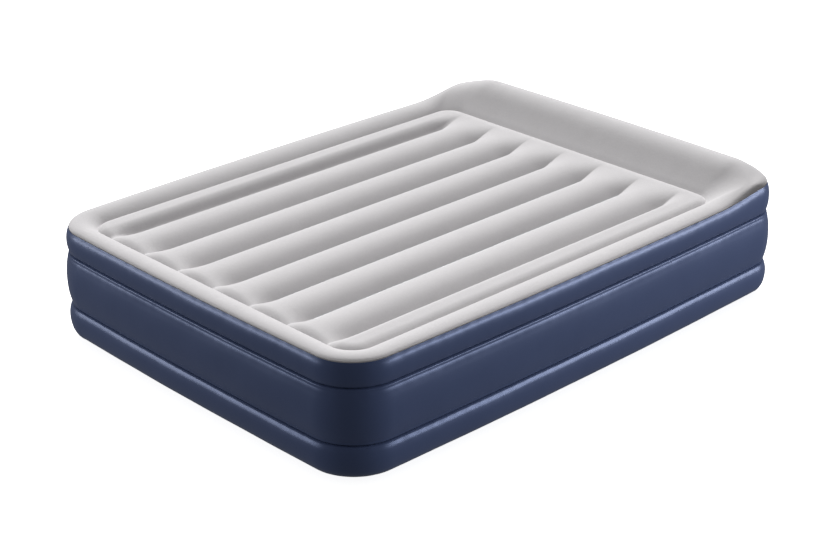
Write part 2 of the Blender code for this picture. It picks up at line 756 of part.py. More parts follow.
gland_seat = BAY_BACK + BAY_WALL + GAP
gland_outline = [
    (0.0060, gland_seat + 0.0025),
    (0.0060, gland_seat),
    (0.0042, gland_seat),
    (0.0042, BAY_BACK - 0.0060),
    (0.0030, BAY_BACK - 0.0060),
    (0.0030, gland_seat + 0.0025),
]
place(turned("cord_gland", gland_outline, GLAND_SPOT, 16), soft_rubber, PUMP)

DOOR_GAP = 0.0006
door_low = (BAY_MIDDLE[0] - BAY_HALF[0] + DOOR_GAP, HINGE_Y + 0.0003, -0.0024)
door_high = (BAY_MIDDLE[0] + BAY_HALF[0] - DOOR_GAP, BAY_MIDDLE[1] + BAY_HALF[1] - DOOR_GAP, -0.0002)
hinge_frame = bpy.data.objects.new("door_hinge_axis", None)
PARTS.objects.link(hinge_frame)
hinge_frame.parent = PUMP
hinge_frame.location = HINGE_MIDDLE
to_hinge = Vector(hinge_frame.location)
cord_bay_door = block("cord_bay_door", Vector(door_low) - to_hinge, Vector(door_high) - to_hinge)
barrel = cross_rod("barrel_tool", 0.0014, BAY_HALF[0] - DOOR_GAP, (0, 0, 0), 12)
barrel_bore = cross_rod("barrel_bore_cutter", PIN_RADIUS + GAP, BAY_HALF[0] + 0.01, (0, 0, 0), 8)
boolean(cord_bay_door, "UNION", [barrel], hinge_frame)
boolean(cord_bay_door, "DIFFERENCE", [barrel_bore], hinge_frame)
place(cord_bay_door, grey_plastic, hinge_frame)
door_hinge_pin = cross_rod("door_hinge_pin", PIN_RADIUS, BAY_HALF[0] + 0.0024, HINGE_MIDDLE, 8)
place(door_hinge_pin, steel, PUMP)

# The rocker switch: a hollow body through the plate, and the rocker that tips in it.
switch_body = plate("switch_body", SWITCH_HALF, -0.0200, -0.0002, 0, SWITCH_MIDDLE)
switch_room = plate("switch_room_cutter", (0.0062, 0.0092), -0.0180, 0.01, 0, SWITCH_MIDDLE)
boolean(switch_body, "DIFFERENCE", [switch_room], PUMP)
place(switch_body, black_plastic, PUMP)
ROCKER_Z = -0.0045
rocker_outline = [
    (-0.0074, 0.0035),
    (-0.0060, -0.0050),
    (0.0060, -0.0050),
    (0.0074, 0.0070),
    (0.0000, 0.0047),
]
rocker_switch = flat_piece("rocker_switch", [rocker_outline], 2 * 0.0057, black_plastic, PUMP)
rocker_switch.location = (*SWITCH_MIDDLE, ROCKER_Z)
rocker_switch.rotation_euler = (math.pi / 2, 0.0, math.pi / 2)

# The dial: a disc with a raised grip, and the stub shaft through the plate that turns the drum.
DIAL_RADIUS = 0.0360
DRUM_FRONT = -0.0100
dial_frame = bpy.data.objects.new("dial_axis", None)
PARTS.objects.link(dial_frame)
dial_frame.parent = PUMP
dial_frame.location = (DIAL_X, 0.0, 0.0)
dial_outline = [
    (0.0, 0.0064),
    (DIAL_RADIUS - 0.0030, 0.0064),
    (DIAL_RADIUS, 0.0040),
    (DIAL_RADIUS, 0.0006),
    (DIAL_SHAFT_RADIUS, 0.0006),
    (DIAL_SHAFT_RADIUS, DRUM_FRONT + GAP),
    (0.0, DRUM_FRONT + GAP),
]
control_dial = turned("control_dial", dial_outline, sides=32)
grip = plate("grip_tool", (0.0070, 0.0300), 0.0030, 0.0140, 0.005)
boolean(control_dial, "UNION", [grip], dial_frame)
place(control_dial, black_plastic, dial_frame)

# The drum behind the dial steers the air: it turns in a fixed sleeve, and a port in each lines up.
SLEEVE_OUTER, SLEEVE_INNER = 0.0355, 0.0335
DRUM_OUTER, DRUM_INNER = 0.0330, 0.0312
DRUM_BACK = -0.1330
AIR_PORT_Z = -0.0880
AIR_PORT_HALF = 0.0120
drum_outline = [
    (DRUM_OUTER, DRUM_FRONT),
    (DRUM_OUTER, DRUM_BACK),
    (DRUM_INNER, DRUM_BACK),
    (DRUM_INNER, DRUM_FRONT - 0.0020),
    (0.0040, DRUM_FRONT - 0.0020),
    (0.0040, DRUM_FRONT),
]
diverter_drum = turned("diverter_drum", drum_outline, (0, 0), 24)
drum_port = plate(
    "drum_port_cutter", (0.030, AIR_PORT_HALF), AIR_PORT_Z - 0.012, AIR_PORT_Z + 0.012, 0, (-0.035, 0)
)
boolean(diverter_drum, "DIFFERENCE", [drum_port], dial_frame)
place(diverter_drum, white_plastic, dial_frame)
drum_sleeve = sleeve("drum_sleeve", SLEEVE_OUTER, SLEEVE_INNER, TUB_FLOOR + GAP, -0.0080, (DIAL_X, 0), 24)
sleeve_port = plate("sleeve_port_cutter", (0.030, AIR_PORT_HALF), AIR_PORT_Z - 0.012, AIR_PORT_Z + 0.012, 0,
                    (DIAL_X - 0.035, 0))
boolean(drum_sleeve, "DIFFERENCE", [sleeve_port], PUMP)
place(drum_sleeve, grey_plastic, PUMP)

# The blower: a round volute whose outlet meets the sleeve, its cover, the impeller and the motor.
VOLUTE_OUTER, VOLUTE_WALL = 0.0460, 0.0020
VOLUTE_BACK, VOLUTE_FRONT = -0.1080, -0.0700
EAR_REACH = 0.0480
ears = [
    (BLOWER_X + EAR_REACH * math.cos(math.radians(a)), EAR_REACH * math.sin(math.radians(a)))
    for a in (45, 135, 225, 315)
]
motor_spots = [(BLOWER_X - 0.0100, 0.0), (BLOWER_X + 0.0100, 0.0)]
COVER_SCREW_RADIUS = 0.0011
EAR_RADIUS = 0.0042
MOTOR_SCREW_RADIUS = 0.0010
volute = rod("volute", VOLUTE_OUTER, VOLUTE_BACK, VOLUTE_FRONT, (BLOWER_X, 0), 32)
volute_joins = [block("duct_tool", (BLOWER_X + 0.030, -0.0140, -0.1040), (0.0188, 0.0140, -0.0740))]
volute_joins += [
    rod(f"ear_tool_{i}", EAR_RADIUS, -0.0900, VOLUTE_FRONT, spot, 12) for i, spot in enumerate(ears)
]
volute_cuts = [
    rod("scroll_cutter", VOLUTE_OUTER - VOLUTE_WALL, VOLUTE_BACK + VOLUTE_WALL, 0.0, (BLOWER_X, 0), 32),
    block("duct_cutter", (BLOWER_X + 0.020, -0.0120, -0.1020), (0.0300, 0.0120, -0.0760)),
    rod("shaft_hole_cutter", 0.0040, -0.2, 0.0, (BLOWER_X, 0), 12),
]
volute_cuts += [
    rod(f"ear_hole_cutter_{i}", COVER_SCREW_RADIUS + GAP, -0.0820, 0.0, spot, 8)
    for i, spot in enumerate(ears)
]
volute_cuts += [
    rod(f"motor_hole_cutter_{i}", MOTOR_SCREW_RADIUS + GAP, -0.2, 0.0, spot, 8)
    for i, spot in enumerate(motor_spots)
]
boolean(volute, "UNION", volute_joins, PUMP)
boolean(volute, "DIFFERENCE", volute_cuts, PUMP)
place(volute, white_plastic, PUMP)

COVER_BACK, COVER_FRONT = VOLUTE_FRONT + GAP, VOLUTE_FRONT + GAP + 0.0020
volute_cover = rod("volute_cover", VOLUTE_OUTER, COVER_BACK, COVER_FRONT, (BLOWER_X, 0), 32)
cover_ears = [
    rod(f"cover_ear_tool_{i}", EAR_RADIUS, COVER_BACK, COVER_FRONT, spot, 12)
    for i, spot in enumerate(ears)
]
cover_cuts = [rod("intake_cutter", 0.0240, -0.2, 0.0, (BLOWER_X, 0), 24)]
cover_cuts += [
    rod(f"cover_hole_cutter_{i}", COVER_SCREW_RADIUS + GAP, -0.2, 0.0, spot, 8)
    for i, spot in enumerate(ears)
]
boolean(volute_cover, "UNION", cover_ears, PUMP)
boolean(volute_cover, "DIFFERENCE", cover_cuts, PUMP)
place(volute_cover, white_plastic, PUMP)
for i, spot in enumerate(ears):
    screw(f"cover_screw_{i + 1}", COVER_SCREW_RADIUS, 0.0100, 0.0024, 0.0014, spot, COVER_FRONT + GAP)

SHAFT_RADIUS = 0.0015
MOTOR_RADIUS = 0.0165
CAN_FRONT, CAN_BACK = VOLUTE_BACK - GAP, -0.1470
motor_can = sleeve("motor_can", MOTOR_RADIUS, SHAFT_RADIUS + GAP, CAN_BACK, CAN_FRONT, (BLOWER_X, 0), 24)
can_cuts = [
    rod(f"can_hole_cutter_{i}", MOTOR_SCREW_RADIUS + GAP, CAN_FRONT - 0.006, 0.0, spot, 8)
    for i, spot in enumerate(motor_spots)
]
boolean(motor_can, "DIFFERENCE", can_cuts, PUMP)
place(motor_can, steel, PUMP)
motor_end_cap = sleeve(
    "motor_end_cap", MOTOR_RADIUS, SHAFT_RADIUS + GAP, CAN_BACK - 0.0035, CAN_BACK - GAP, (BLOWER_X, 0), 24
)
place(motor_end_cap, black_plastic, PUMP)
for i, spot in enumerate(motor_spots):
    screw(f"motor_screw_{i + 1}", 0.0010, 0.0060, 0.0022, 0.0012, spot, VOLUTE_BACK + VOLUTE_WALL + GAP)

rotor_frame = bpy.data.objects.new("rotor_axis", None)
PARTS.objects.link(rotor_frame)
rotor_frame.parent = PUMP
rotor_frame.location = (BLOWER_X, 0.0, 0.0)
place(rod("motor_shaft", SHAFT_RADIUS, CAN_BACK - 0.0020, -0.0750, sides=12), steel, rotor_frame)

IMPELLER_RADIUS = 0.0400
IMPELLER_BACK, IMPELLER_FRONT = -0.1030, -0.0740
BLADES = 8
impeller = rod("impeller", IMPELLER_RADIUS, IMPELLER_BACK, IMPELLER_BACK + 0.0018, sides=24)
impeller_joins = [rod("hub_tool", 0.0070, IMPELLER_BACK, -0.0780, sides=16)]
for i in range(BLADES):
    blade_root = (0.0160, -0.0008, IMPELLER_BACK + 0.0005)
    blade = block(f"blade_tool_{i}", blade_root, (0.0385, 0.0008, IMPELLER_FRONT))
    blade.rotation_euler.z = 2 * math.pi * i / BLADES
    impeller_joins.append(blade)
impeller_bore = rod("impeller_bore_cutter", SHAFT_RADIUS + GAP, -0.2, 0.0, sides=12)
boolean(impeller, "UNION", impeller_joins, rotor_frame)
boolean(impeller, "DIFFERENCE", [impeller_bore], rotor_frame)
place(impeller, white_plastic, rotor_frame)

# The inner valve: a plate and rubber ring pulled against the tub's back wall by a spring on the stem.
valve_frame = bpy.data.objects.new("valve_axis", None)
PARTS.objects.link(valve_frame)
valve_frame.parent = PUMP
valve_frame.location = (DIAL_X, 0.0, 0.0)
SEAL_FRONT = TUB_BACK - GAP
SEAL_BACK = SEAL_FRONT - 0.0020
PLATE_Z = (SEAL_BACK - GAP - 0.0020, SEAL_BACK - GAP)
CLIP_Z = (-0.1370, -0.1360)
place(sleeve("valve_seal", 0.0265, 0.0225, SEAL_BACK, SEAL_FRONT), soft_rubber, valve_frame)
place(sleeve("valve_plate", 0.0270, STEM_RADIUS + GAP, *PLATE_Z), white_plastic, valve_frame)
place(rod("valve_stem", STEM_RADIUS, PLATE_Z[0] - 0.0010, -0.1350, sides=12), white_plastic, valve_frame)
place(sleeve("spring_clip", 0.0062, STEM_RADIUS + GAP, *CLIP_Z, sides=16), steel, valve_frame)

SPRING_RADIUS = 0.0045
SPRING_WIRE = 0.0004
SPRING_TURNS = 5
SPRING_STEPS = 12
spring_low = TUB_FLOOR + SPRING_WIRE + GAP
spring_high = CLIP_Z[0] - SPRING_WIRE - GAP
coil = bpy.data.curves.new("valve_spring", "CURVE")
coil.dimensions = "3D"
coil.bevel_depth = SPRING_WIRE
coil.bevel_resolution = 1
coil.use_fill_caps = True
coil_line = coil.splines.new("POLY")
coil_points = SPRING_TURNS * SPRING_STEPS + 1
coil_line.points.add(coil_points - 1)
for i, point in enumerate(coil_line.points):
    turn = 2 * math.pi * i / SPRING_STEPS
    height = spring_low + (spring_high - spring_low) * i / (coil_points - 1)
    point.co = (SPRING_RADIUS * math.cos(turn), SPRING_RADIUS * math.sin(turn), height, 1.0)
place(bpy.data.objects.new("valve_spring", coil), steel, valve_frame)
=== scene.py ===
"""A queen-size airbed with a raised pillow end, navy sides and a built-in pump, as it is welded up."""

import math

import bmesh
import bpy
import numpy as np
from mathutils import Matrix, Vector


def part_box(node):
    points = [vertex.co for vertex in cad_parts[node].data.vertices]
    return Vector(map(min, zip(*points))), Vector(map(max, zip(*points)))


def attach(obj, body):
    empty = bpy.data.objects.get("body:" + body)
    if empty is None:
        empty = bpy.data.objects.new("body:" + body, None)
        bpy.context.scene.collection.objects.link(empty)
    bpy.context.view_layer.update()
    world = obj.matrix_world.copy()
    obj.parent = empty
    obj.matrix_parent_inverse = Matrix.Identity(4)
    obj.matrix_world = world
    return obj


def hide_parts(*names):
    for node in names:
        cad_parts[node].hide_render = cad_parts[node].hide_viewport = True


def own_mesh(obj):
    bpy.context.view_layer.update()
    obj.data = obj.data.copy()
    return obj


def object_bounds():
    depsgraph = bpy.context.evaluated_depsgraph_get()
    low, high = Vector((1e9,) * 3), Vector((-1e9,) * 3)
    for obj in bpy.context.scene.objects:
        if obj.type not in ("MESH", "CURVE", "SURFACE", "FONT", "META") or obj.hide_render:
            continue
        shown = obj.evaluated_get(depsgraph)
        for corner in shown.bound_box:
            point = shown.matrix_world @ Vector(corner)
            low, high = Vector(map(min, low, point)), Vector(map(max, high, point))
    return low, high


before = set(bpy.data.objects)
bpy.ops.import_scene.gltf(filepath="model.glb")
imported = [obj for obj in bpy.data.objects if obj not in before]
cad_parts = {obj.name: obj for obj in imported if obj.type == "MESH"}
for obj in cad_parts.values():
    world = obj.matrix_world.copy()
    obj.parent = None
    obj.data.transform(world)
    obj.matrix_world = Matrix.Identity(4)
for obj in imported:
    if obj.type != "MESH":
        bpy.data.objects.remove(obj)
cad_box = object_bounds()
low, high = (np.array(corner) for corner in cad_box)
half_width, half_length = (high[:2] - low[:2]) / 2

# --- Studio --------------------------------------------------------------------------------------
# A white floor that runs out past the view, a long softbox at each side that the satin film
# mirrors along its bulges, a broad light overhead and a pale surround. The camera looks down on
# the corner between the foot and the long side.

scene = bpy.context.scene
scene.view_settings.view_transform = "Standard"
scene.view_settings.look = "None"

camera_data = bpy.data.cameras.new("camera")
camera_data.lens = 79.59
camera_data.sensor_width = 36.0
camera = bpy.data.objects.new("camera", camera_data)
scene.collection.objects.link(camera)
camera.location = (4.1021, -3.9807, 2.7697)
looking = Vector((-0.6519, 0.6301, -0.4219))
camera.rotation_mode = "QUATERNION"
camera.rotation_quaternion = looking.to_track_quat("-Z", "Y")
scene.camera = camera

surround = bpy.data.worlds.new("surround")
scene.world = surround
surround.use_nodes = True
# The surround is seen white and lights dimly.
surround_shader = surround.node_tree.nodes["Background"]
surround_shader.inputs["Color"].default_value = (1.0, 1.0, 1.0, 1.0)
seen = surround.node_tree.nodes.new("ShaderNodeLightPath")
surround_level = surround.node_tree.nodes.new("ShaderNodeMapRange")
surround_level.inputs["To Min"].default_value = 0.19
surround_level.inputs["To Max"].default_value = 1.0
surround.node_tree.links.new(seen.outputs["Is Camera Ray"], surround_level.inputs["Value"])
surround.node_tree.links.new(surround_level.outputs["Result"], surround_shader.inputs["Strength"])

bm = bmesh.new()
bmesh.ops.create_grid(bm, x_segments=1, y_segments=1, size=14.0)
floor_mesh = bpy.data.meshes.new("floor")
bm.to_mesh(floor_mesh)
bm.free()
floor = bpy.data.objects.new("floor", floor_mesh)
floor.location.z = -0.001
scene.collection.objects.link(floor)
floor_paint = bpy.data.materials.new("floor_paint")
floor_paint.use_nodes = True
floor_shader = floor_paint.node_tree.nodes["Principled BSDF"]
floor_shader.inputs["Base Color"].default_value = (0.97, 0.97, 0.97, 1.0)
floor_shader.inputs["Roughness"].default_value = 0.9
floor_shader.inputs["Specular IOR Level"].default_value = 0.0
floor_shader.inputs["Emission Color"].default_value = (1.0, 1.0, 1.0, 1.0)
floor_shader.inputs["Emission Strength"].default_value = 0.90
floor.visible_diffuse = False
floor.visible_glossy = False
floor_mesh.materials.append(floor_paint)


def softbox(name, place, aim, size, power, colour=(1.0, 1.0, 1.0)):
    """A rectangular light at place that faces aim."""
    data = bpy.data.lights.new(name, "AREA")
    data.shape = "RECTANGLE"
    data.size, data.size_y = size
    data.energy = power
    data.color = colour
    light = bpy.data.objects.new(name, data)
    light.location = place
    light.rotation_mode = "QUATERNION"
    light.rotation_quaternion = (Vector(aim) - Vector(place)).to_track_quat("-Z", "Y")
    scene.collection.objects.link(light)
    return light


# The two long softboxes light the film alone, so the flock keeps the shade of the key.
film_walls = bpy.data.collections.new("film_walls")
scene.collection.children.link(film_walls)
side_light = softbox("side_softbox", (4.4, 3.4, 1.25), (0.6, 0.1, 0.2), (3.6, 1.3), 235.0)
foot_light = softbox("foot_softbox", (-3.4, -4.4, 1.20), (-0.1, -0.9, 0.2), (3.2, 1.3), 125.0)
for light in (side_light, foot_light):
    light.light_linking.receiver_collection = film_walls

key_data = bpy.data.lights.new("key", "SUN")
key_data.energy = 4.65
key_data.angle = math.radians(32)
key = bpy.data.objects.new("key", key_data)
key.rotation_mode = "QUATERNION"
key.rotation_quaternion = Vector((0.56, -0.52, -0.65)).to_track_quat("-Z", "Y")
scene.collection.objects.link(key)


# --- Top sheet -----------------------------------------------------------------------------------
# One sheet of flocked film that wraps over the rim and is welded to the navy sides below its
# shoulder. Inner beams pull eight lengthways channels down between the crowns, a border weld rings
# the sleeping panel, and the head end is cut fuller so that it swells into a pillow.

class Wire:
    """A shader socket that Python's operators work on, each adding its Math node."""

    def __init__(self, finish, socket):
        self.finish, self.socket = finish, socket

    def __add__(self, other):
        return self.finish.math("ADD", self, other)

    __radd__ = __add__

    def __mul__(self, other):
        return self.finish.math("MULTIPLY", self, other)

    __rmul__ = __mul__

    def __sub__(self, other):
        return self.finish.math("SUBTRACT", self, other)

    def __rsub__(self, other):
        return self.finish.math("SUBTRACT", other, self)

    def __pow__(self, other):
        return self.finish.math("POWER", self, other)


class Finish:
    """A material around one Principled shader."""

    def __init__(self, name, **constants):
        self.material = bpy.data.materials.new(name)
        self.material.use_nodes = True
        self.tree = self.material.node_tree
        self.shader = self.tree.nodes["Principled BSDF"]
        for label, value in constants.items():
            socket = self.shader.inputs[label.replace("_", " ")]
            socket.default_value = (*value, 1.0) if isinstance(value, tuple) else value

    def node(self, kind, values, output=0, **settings):
        """Any node: its settings first, then the values or links of its sockets by name or place."""
        made = self.tree.nodes.new(kind)
        for label, value in settings.items():
            if label == "stops":
                for i, (position, shade) in enumerate(value):
                    stop = made.color_ramp.elements[i] if i < 2 else made.color_ramp.elements.new(position)
                    stop.position = position
                    stop.color = (shade, shade, shade, 1.0)
            else:
                setattr(made, label, value)
        for label, value in values.items():
            if isinstance(value, Wire):
                self.tree.links.new(value.socket, made.inputs[label])
            else:
                made.inputs[label].default_value = value
        return Wire(self, made.outputs[output])

    def math(self, operation, a, b):
        return self.node("ShaderNodeMath", {0: a, 1: b}, operation=operation)

    def place(self):
        """Object coordinates."""
        return self.node("ShaderNodeTexCoord", {}, output="Object")

    def noise(self, scale, detail=2.0, roughness=0.5, stretch=(1.0, 1.0, 1.0)):
        where = self.node("ShaderNodeMapping", {"Vector": self.place(), "Scale": stretch})
        values = {"Vector": where, "Scale": scale, "Detail": detail, "Roughness": roughness}
        return self.node("ShaderNodeTexNoise", values)

    def mix(self, share, low_colour, high_colour):
        values = {0: share, 6: low_colour, 7: high_colour}
        return self.node("ShaderNodeMix", values, output=2, data_type="RGBA")

    def bump(self, height, distance, strength=1.0, under=None):
        values = {"Height": height, "Distance": distance, "Strength": strength}
        if under:
            values["Normal"] = under
        return self.node("ShaderNodeBump", values)

    def feed(self, **wires):
        """Link wires to the shader's own sockets."""
        for label, wire in wires.items():
            self.tree.links.new(wire.socket, self.shader.inputs[label.replace("_", " ")])
        return self.material


flock = Finish("flocked_top", Roughness=0.95, Sheen_Weight=0.25, Sheen_Roughness=0.55)
flock.shader.inputs["Specular IOR Level"].default_value = 0.15
nap = flock.noise(900.0, 3.0, 0.6)
brushing = flock.noise(14.0, 4.0, 0.62, (1.0, 0.45, 1.0))
mottle = flock.noise(130.0, 3.0, 0.6)
flock_shade = brushing * 0.45 + mottle * 0.35 + nap * 0.20
flock_colour = flock.mix(flock_shade, (0.515, 0.501, 0.512, 1.0), (0.665, 0.648, 0.657, 1.0))
flock_relief = flock.bump(nap, 0.0006, 0.5, flock.bump(mottle, 0.0012, 0.35))
flocked_top = flock.feed(Base_Color=flock_colour, Normal=flock_relief)

side_bow, end_bow = 0.0175, 0.0130
core_x, core_y = half_width - side_bow, half_length - end_bow
foot_radius, head_radius = 0.164, 0.118
seam_inset, seam_z = 0.0200, 0.3910
panel_half, panel_foot, panel_head, panel_radius = 0.634, -0.900, 0.750, 0.072
border_z, crown_z, groove_z = 0.375, 0.3885, 0.3485
channel_pitch, groove_count = 0.174, 7
grooves_x = [channel_pitch * (i - (groove_count - 1) / 2) for i in range(groove_count)]
outer_channel = panel_half - grooves_x[-1]
film = 0.0012
arc_steps = 12
turn_steps = 2 * arc_steps


def ease(value, start, end):
    """0 before start, 1 after end, and an even curve between."""
    share = np.clip((np.asarray(value, float) - start) / (end - start), 0.0, 1.0)
    return share * share * (3.0 - 2.0 * share)


def arch(share, fullness=2.3):
    """A taut film's height along its run from a weld line, 0, to its crown, 1."""
    return 1.0 - (1.0 - np.clip(share, 0.0, 1.0)) ** fullness


def through(points, at):
    """A smooth curve through (place, value) points."""
    x, y = (np.array(column, float) for column in zip(*points))
    slope = np.gradient(y, x)
    at = np.asarray(at, float)
    i = np.clip(np.searchsorted(x, at) - 1, 0, len(x) - 2)
    step = x[i + 1] - x[i]
    t = (at - x[i]) / step
    start = (1 + 2 * t) * (1 - t) ** 2 * y[i] + t * (1 - t) ** 2 * step * slope[i]
    end = t * t * (3 - 2 * t) * y[i + 1] - t * t * (1 - t) * step * slope[i + 1]
    return start + end


def rounded_loop(half_x, foot_y, head_y, radii, sides_x, sides_y):
    """Anticlockwise points and outward normals round a rounded rectangle.

    radii are those of the foot's and the head's corners. sides_x and sides_y run from -1 to 1
    along the straight parts, without their ends. The loop starts on the foot side, towards -X.
    """
    foot_turn, head_turn = radii
    low_y, high_y = foot_y + foot_turn, head_y - head_turn
    middle, run = (low_y + high_y) / 2, (high_y - low_y) / 2
    foot_x, head_x = half_x - foot_turn, half_x - head_turn
    sides = (
        ([(s * foot_x, foot_y) for s in sides_x], (foot_x, low_y), foot_turn),
        ([(half_x, middle + s * run) for s in sides_y], (head_x, high_y), head_turn),
        ([(s * head_x, head_y) for s in reversed(sides_x)], (-head_x, high_y), head_turn),
        ([(-half_x, middle + s * run) for s in reversed(sides_y)], (-foot_x, low_y), foot_turn),
    )
    points, normals = [], []
    for quarter, (side, centre, radius) in enumerate(sides):
        facing = math.pi / 2 * (quarter - 1)
        points += side
        normals += [(math.cos(facing), math.sin(facing))] * len(side)
        for step in range(turn_steps + 1):
            angle = facing + math.pi / 2 * step / turn_steps
            normals.append((math.cos(angle), math.sin(angle)))
            points.append((centre[0] + radius * normals[-1][0], centre[1] + radius * normals[-1][1]))
    return np.array(points), np.array(normals)


def bowed(plan):
    """Plan points moved out by the swell of the sides and ends between the corners."""
    across, along = np.clip(plan[:, 0] / core_x, -1.0, 1.0), np.clip(plan[:, 1] / core_y, -1.0, 1.0)
    side_out = side_bow * (1.0 - along**2) * across
    end_out = end_bow * (1.0 - across**2) * along
    return plan + np.column_stack([side_out, end_out])


def crowded(start, end, steps, at_start=True, at_end=True):
    """Places from start to end that crowd towards the ends that ask for it."""
    t = np.linspace(0.0, 1.0, steps + 1)
    if at_start and at_end:
        t = (1.0 - np.cos(math.pi * t)) / 2.0
    elif at_end:
        t = np.sin(math.pi / 2 * t)
    elif at_start:
        t = 1.0 - np.cos(math.pi / 2 * t)
    return start + (end - start) * t


# The grid covers the panel up to a margin inside its border weld; loops carry it on from there.
margin = 0.030
grid_half, grid_radius = panel_half - margin, panel_radius - margin
grid_foot, grid_head = panel_foot + margin, panel_head - margin
middle_y, half_y = (grid_foot + grid_head) / 2, (grid_head - grid_foot) / 2
straight_x, straight_y = grid_half - grid_radius, half_y - grid_radius
arc_offsets = [grid_radius * math.sin(math.pi / 4 * i / arc_steps) for i in range(arc_steps)]
right_lines = [x for g in grooves_x[3:-1] for x in crowded(g, g + channel_pitch, 14)[1:]]
right_lines += list(np.linspace(grooves_x[-1], straight_x, 5)[1:-1])
inner_x = [-x for x in reversed(right_lines)] + [0.0] + right_lines
inner_y = list(np.linspace(-straight_y, straight_y, 104)[1:-1])
ends_x = [straight_x + offset for offset in arc_offsets] + [grid_half]
ends_y = [straight_y + offset for offset in arc_offsets] + [half_y]
lines_x = [-x for x in reversed(ends_x)] + inner_x + ends_x
lines_y = [middle_y + y for y in [-y for y in reversed(ends_y)] + inner_y + ends_y]
sides_x = [x / straight_x for x in inner_x]
sides_y = [y / straight_y for y in inner_y]


def panel_height(x, y):
    """Crowned channels that run along Y and round off at the border weld."""
    to_side = panel_half - np.abs(x)
    to_foot, to_head = y - panel_foot, panel_head - y
    to_end = np.minimum(to_foot, to_head)
    in_corner = (to_side < panel_radius) & (to_end < panel_radius)
    reach = np.hypot(panel_radius - to_side, panel_radius - to_end)
    to_edge = np.where(in_corner, np.maximum(panel_radius - reach, 0.0), np.minimum(to_side, to_end))
    to_groove = np.min([np.abs(x - groove) for groove in grooves_x], axis=0)
    half = np.where(np.abs(x) <= grooves_x[-1], channel_pitch / 2, outer_channel / 2)
    fade = ease(to_foot, -0.050, 0.110) * ease(to_head, 0.030, 0.200)
    dip = (crown_z - groove_z) * (1.0 - arch(to_groove / half)) * fade
    return border_z + (crown_z - border_z) * arch(to_edge / 0.035) - dip


rim_curve = ((0.0, 0.3750), (0.06, 0.3805), (0.16, 0.3875), (0.32, 0.3955), (0.52, 0.4010),
             (0.70, 0.4020), (0.84, 0.4000), (0.94, 0.3965), (1.0, 0.3925))
pillow_curve = ((0.0, 0.3750), (0.05, 0.3900), (0.15, 0.4080), (0.30, 0.4290), (0.45, 0.4465),
                (0.60, 0.4585), (0.67, 0.4620), (0.74, 0.4600), (0.82, 0.4500), (0.90, 0.4310),
                (0.96, 0.4100), (1.0, 0.3925))


def head_lift(y):
    """How far the pillow draws the seam up, round the head."""
    return 0.022 * ease(y, 0.66, 0.97)


def rim_height(x, y, share):
    """The rim from the border weld, 0, to the seam, 1, swelling into the pillow at the head."""
    swell = ease(y, 0.67, 0.89) * (1.0 - 0.60 * ease(np.abs(x), 0.56, 0.73))
    rim, pillow = through(rim_curve, share), through(pillow_curve, share)
    return rim + (pillow - rim) * swell + head_lift(y) * ease(share, 0.70, 1.0)


grid_loop, _ = rounded_loop(grid_half, grid_foot, grid_head, [grid_radius] * 2, sides_x, sides_y)
border_loop, _ = rounded_loop(panel_half, panel_foot, panel_head, [panel_radius] * 2, sides_x, sides_y)
seam_x, seam_y = core_x - seam_inset, core_y - seam_inset
seam_radii = (foot_radius - seam_inset, head_radius - seam_inset)
seam_loop = bowed(rounded_loop(seam_x, -seam_y, seam_y, seam_radii, sides_x, sides_y)[0])
columns, rows = len(lines_x), len(lines_y)
first = len(ends_x)
edge_cells = [(i, 0) for i in range(first, columns)]
edge_cells += [(columns - 1, j) for j in range(1, rows)]
edge_cells += [(i, rows - 1) for i in range(columns - 2, -1, -1)]
edge_cells += [(0, j) for j in range(rows - 2, -1, -1)]
edge_cells += [(i, 0) for i in range(1, first)]
plan = np.stack(np.meshgrid(lines_x, lines_y, indexing="ij"), axis=-1)
for (i, j), point in zip(edge_cells, grid_loop):
    plan[i, j] = point
flat_plan = plan.reshape(-1, 2)
points = [np.column_stack([flat_plan, panel_height(*flat_plan.T)])]
cell = np.arange(columns * rows).reshape(columns, rows)
quads = [np.stack([cell[:-1, :-1], cell[1:, :-1], cell[1:, 1:], cell[:-1, 1:]], axis=-1).reshape(-1, 4)]
ring = np.array([cell[i, j] for i, j in edge_cells])
total = columns * rows
for start, end, shares, height in (
    (grid_loop, border_loop, crowded(0.0, 1.0, 9, at_start=False)[1:], lambda x, y, share: panel_height(x, y)),
    (border_loop, seam_loop, crowded(0.0, 1.0, 26)[1:], rim_height),
):
    for share in shares:
        loop = start + (end - start) * share
        points.append(np.column_stack([loop, height(*loop.T, share)]))
        following = np.arange(total, total + len(loop))
        quads.append(np.stack([ring, following, np.roll(following, -1), np.roll(ring, -1)], axis=-1))
        ring = following
        total += len(loop)
# The sheet's lower edge laps a little over the navy side.
lap = seam_loop + (seam_loop - border_loop) * 0.004
points.append(np.column_stack([lap, seam_z - 0.0022 + head_lift(lap[:, 1])]))
following = np.arange(total, total + len(lap))
quads.append(np.stack([ring, following, np.roll(following, -1), np.roll(ring, -1)], axis=-1))


def shell(name, points, quads, material, body="bed"):
    """A mesh piece from points and faces, smooth, with its finish and its body."""
    mesh = bpy.data.meshes.new(name)
    mesh.from_pydata(np.asarray(points).tolist(), [], np.asarray(quads).tolist())
    mesh.validate()
    mesh.shade_smooth()
    mesh.materials.append(material)
    piece = bpy.data.objects.new(name, mesh)
    scene.collection.objects.link(piece)
    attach(piece, body)
    return piece


def walled(piece, thickness=film):
    """Give an open sheet its wall, inwards."""
    wall = piece.modifiers.new("wall", "SOLIDIFY")
    wall.thickness = thickness
    wall.offset = -1.0
    return piece


flocked_points, flocked_quads = np.concatenate(points), np.concatenate(quads)
flocked_surface = shell("flocked_sheet", flocked_points, flocked_quads, flocked_top)
flocked_sheet = walled(flocked_surface)
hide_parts("top_sheet")


